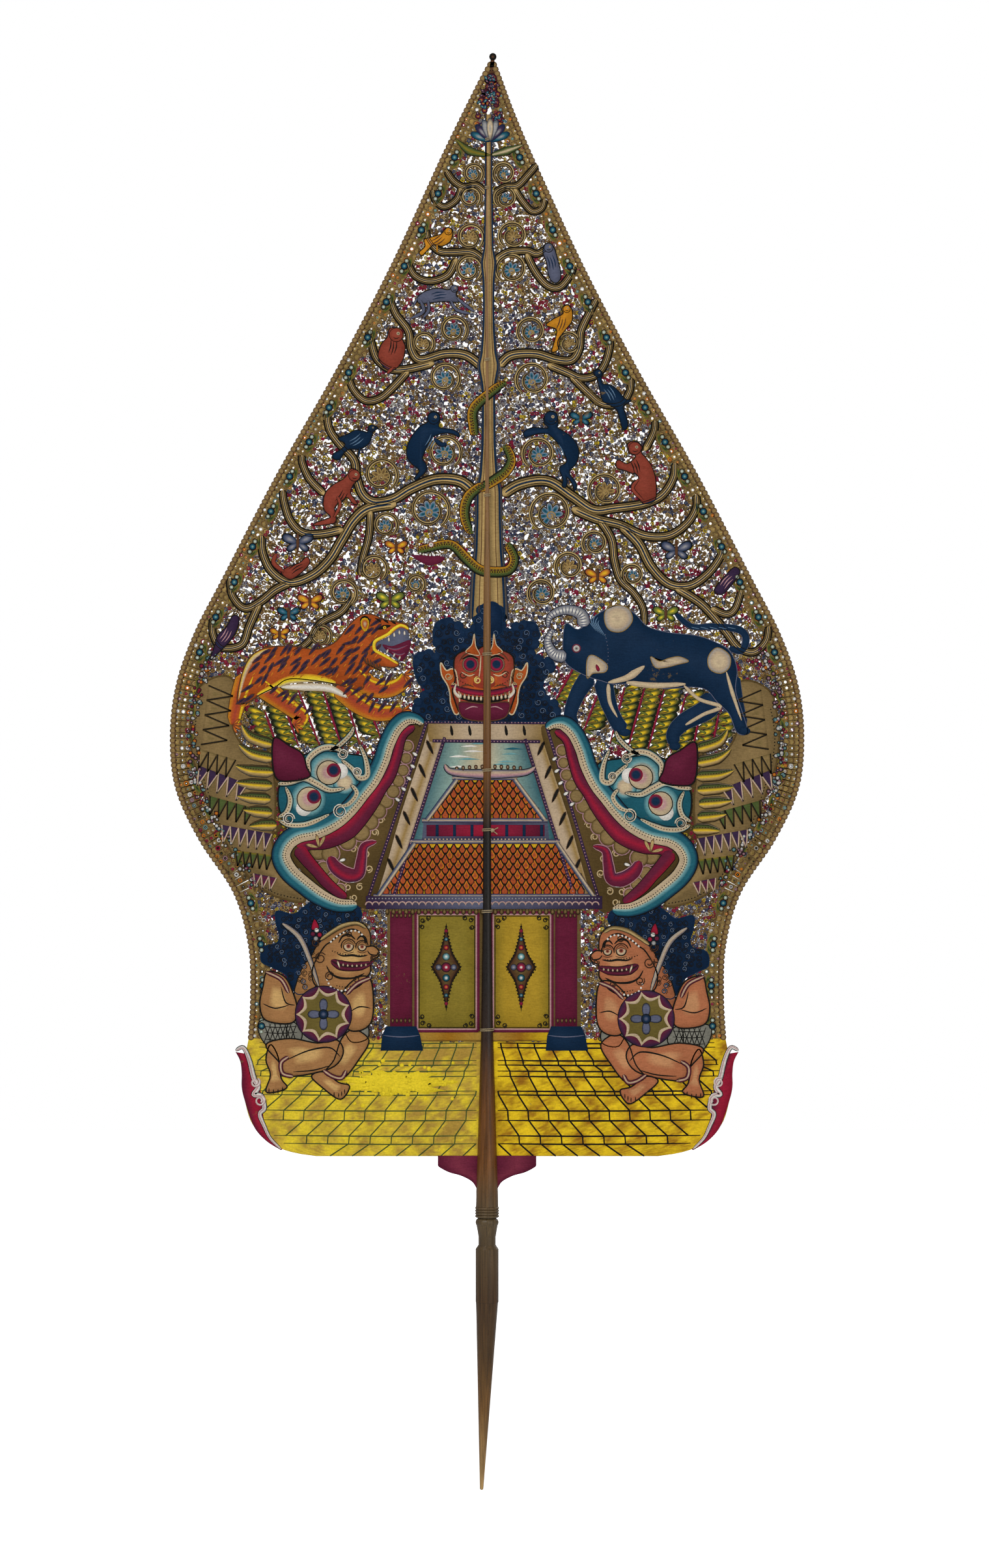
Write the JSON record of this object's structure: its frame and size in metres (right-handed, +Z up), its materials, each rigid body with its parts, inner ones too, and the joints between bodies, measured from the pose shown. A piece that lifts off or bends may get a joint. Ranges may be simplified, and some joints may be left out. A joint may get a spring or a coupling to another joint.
{
  "type": "shadow puppet",
  "caption": "Leaf-shaped shadow puppet: pierced, painted hide sewn with thread into a split horn rod with a turned grip and a long tapered spike.",
  "frame": {"origin": "middle of the straight grip, on its axis", "axes": "+Z up along the grip towards the tip of the leaf, +X to the viewer's right of the painted front, the painted front faces -Y"},
  "size_m": [0.418, 0.0158, 0.9473],
  "materials": {
    "hide": "painted and gilded rawhide, satin",
    "horn": null,
    "thread": "twisted cotton thread"
  },
  "bodies": {
    "root": {"hide_panel": "hide", "split_rod": "horn", "tie_bud": "thread", "tie_crown": "thread", "tie_high_fork": "thread", "tie_low_fork": "thread", "tie_brow": "thread", "tie_ridge": "thread", "tie_knotted": "thread", "tie_eaves": "thread", "tie_sill": "thread"}
  },
  "joints": []
}
